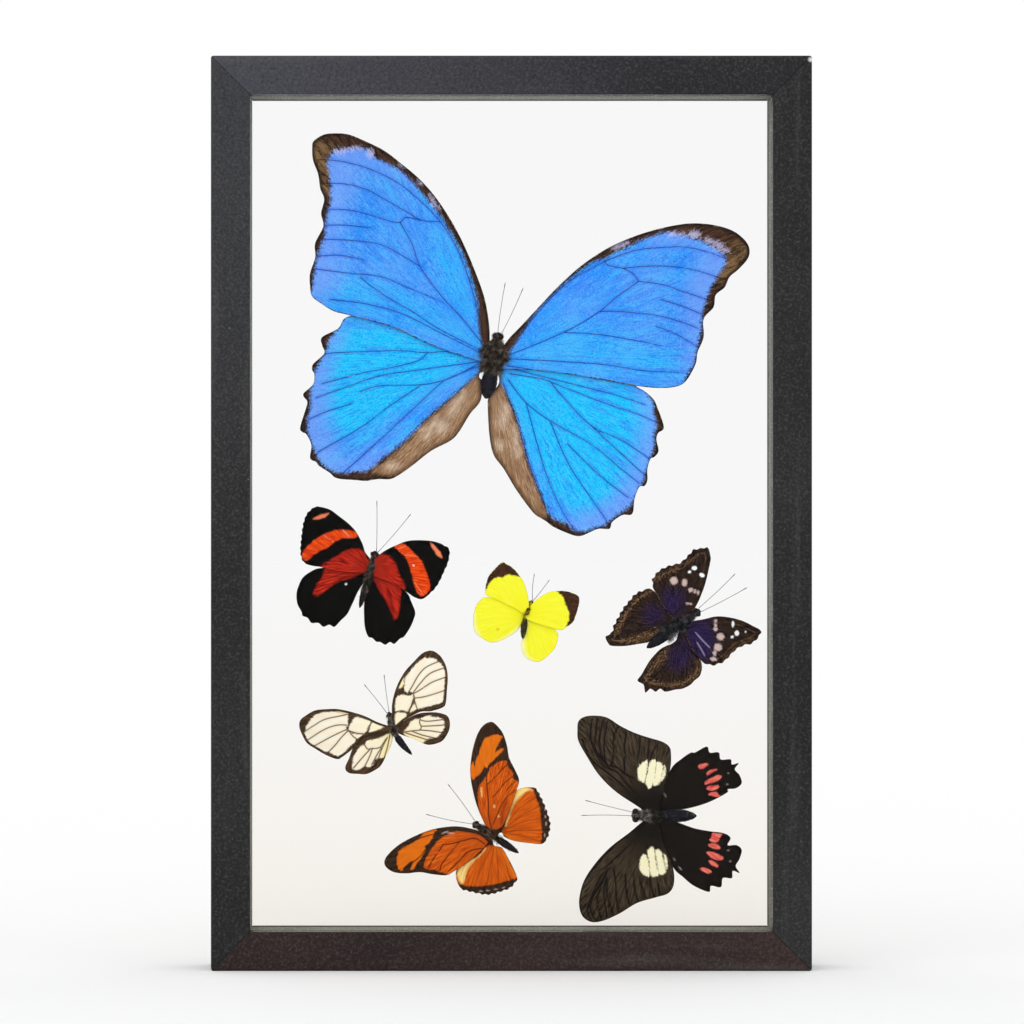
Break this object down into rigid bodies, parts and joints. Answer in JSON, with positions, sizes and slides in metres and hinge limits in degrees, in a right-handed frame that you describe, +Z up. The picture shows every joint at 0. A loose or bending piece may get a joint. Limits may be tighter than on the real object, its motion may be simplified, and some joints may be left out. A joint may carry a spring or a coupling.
{
  "type": "framed butterfly specimen",
  "caption": "Dried tropical butterflies with spread wings, mounted between clear glass panes in an upright black wooden frame.",
  "frame": {"origin": "centre of the bottom rail's underside, on the ground under the frame", "axes": "+Z up along the frame's height, +X along its width to the right as seen from the front, +Y from the front pane to the back pane"},
  "size_m": [0.199, 0.024, 0.303],
  "materials": {
    "black_paint": "satin black paint over wood",
    "clear_glass": "clear, polished",
    "grey_spacer": "speckled grey",
    "blue_morpho_wings": "iridescent blue scales",
    "blue_morpho_body": "fine dull hair",
    "red_banded_wings": "black scales with orange-red bands",
    "red_banded_body": "fine dull hair",
    "yellow_sulphur_wings": "lemon yellow scales",
    "yellow_sulphur_body": "fine dull hair",
    "purple_spotted_wings": "dark scales with a purple sheen",
    "purple_spotted_body": "fine dull hair",
    "clearwing_wings": "thin cream membrane with brown veins",
    "clearwing_body": "fine dull hair",
    "orange_longwing_wings": "orange scales with dark bars",
    "orange_longwing_body": "fine dull hair",
    "cattleheart_wings": "black-brown scales with pale patches",
    "cattleheart_body": "fine dull hair"
  },
  "bodies": {
    "root": {"rail_bottom": "black_paint", "rail_top": "black_paint", "rail_left": "black_paint", "rail_right": "black_paint", "front_glass": "clear_glass", "back_glass": "clear_glass", "spacer_bottom": "grey_spacer", "spacer_top": "grey_spacer", "spacer_left": "grey_spacer", "spacer_right": "grey_spacer", "blue_morpho_body": "blue_morpho_body", "blue_morpho_left_forewing": "blue_morpho_wings", "blue_morpho_right_forewing": "blue_morpho_wings", "blue_morpho_left_hindwing": "blue_morpho_wings", "blue_morpho_right_hindwing": "blue_morpho_wings", "red_banded_body": "red_banded_body", "red_banded_left_forewing": "red_banded_wings", "red_banded_right_forewing": "red_banded_wings", "red_banded_left_hindwing": "red_banded_wings", "red_banded_right_hindwing": "red_banded_wings", "yellow_sulphur_body": "yellow_sulphur_body", "yellow_sulphur_left_forewing": "yellow_sulphur_wings", "yellow_sulphur_right_forewing": "yellow_sulphur_wings", "yellow_sulphur_left_hindwing": "yellow_sulphur_wings", "yellow_sulphur_right_hindwing": "yellow_sulphur_wings", "purple_spotted_body": "purple_spotted_body", "purple_spotted_left_forewing": "purple_spotted_wings", "purple_spotted_right_forewing": "purple_spotted_wings", "purple_spotted_left_hindwing": "purple_spotted_wings", "purple_spotted_right_hindwing": "purple_spotted_wings", "clearwing_body": "clearwing_body", "clearwing_left_forewing": "clearwing_wings", "clearwing_right_forewing": "clearwing_wings", "clearwing_left_hindwing": "clearwing_wings", "clearwing_right_hindwing": "clearwing_wings", "orange_longwing_body": "orange_longwing_body", "orange_longwing_left_forewing": "orange_longwing_wings", "orange_longwing_right_forewing": "orange_longwing_wings", "orange_longwing_left_hindwing": "orange_longwing_wings", "orange_longwing_right_hindwing": "orange_longwing_wings", "cattleheart_body": "cattleheart_body", "cattleheart_left_forewing": "cattleheart_wings", "cattleheart_right_forewing": "cattleheart_wings", "cattleheart_left_hindwing": "cattleheart_wings", "cattleheart_right_hindwing": "cattleheart_wings"}
  },
  "joints": []
}
